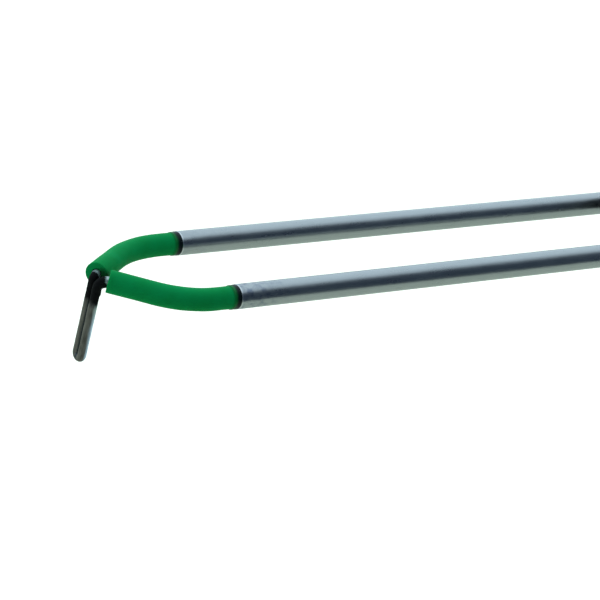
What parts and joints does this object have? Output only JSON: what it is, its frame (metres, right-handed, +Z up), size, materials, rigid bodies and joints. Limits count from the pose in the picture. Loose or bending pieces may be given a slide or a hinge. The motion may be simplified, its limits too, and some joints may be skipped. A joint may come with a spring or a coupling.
{
  "type": "resectoscope hook electrode",
  "caption": "Slender surgical electrode with a down-turned wire hook on insulated fork arms, a telescope guide, a long stem and a contact pin.",
  "frame": {"origin": "on the stem's axis, where the contact pin leaves the collar", "axes": "+X along the stem toward the contact pin, away from the hook; +Z up, on the telescope's side and away from the hook's foot; +Y toward the right arm"},
  "size_m": [0.2886, 0.006, 0.0075],
  "materials": {
    "tungsten_wire": "dull, scorched near the sleeves",
    "green_plastic": "satin",
    "stainless": "satin drawn tube",
    "brass_crimp": "plain",
    "copper": "plain, drawn",
    "braze": "flowed silver braze",
    "seal": "cured resin",
    "white_plastic": "plain"
  },
  "bodies": {
    "root": {"hook_wire": "tungsten_wire", "right_sleeve": "green_plastic", "left_sleeve": "green_plastic", "right_end_seal": "seal", "left_end_seal": "seal", "right_arm_tube": "stainless", "left_arm_tube": "stainless", "right_splice": "brass_crimp", "left_splice": "brass_crimp", "right_lead": "copper", "left_lead": "copper", "telescope_guide": "stainless", "guide_braze": "braze", "fork_yoke": "stainless", "fork_braze_ring": "braze", "junction_crimp": "brass_crimp", "crimp_cap": "white_plastic", "stem_tube": "stainless", "stem_liner": "white_plastic", "stem_conductor": "copper", "stem_sheath": "green_plastic", "collar": "green_plastic", "contact_pin": "stainless"}
  },
  "joints": []
}
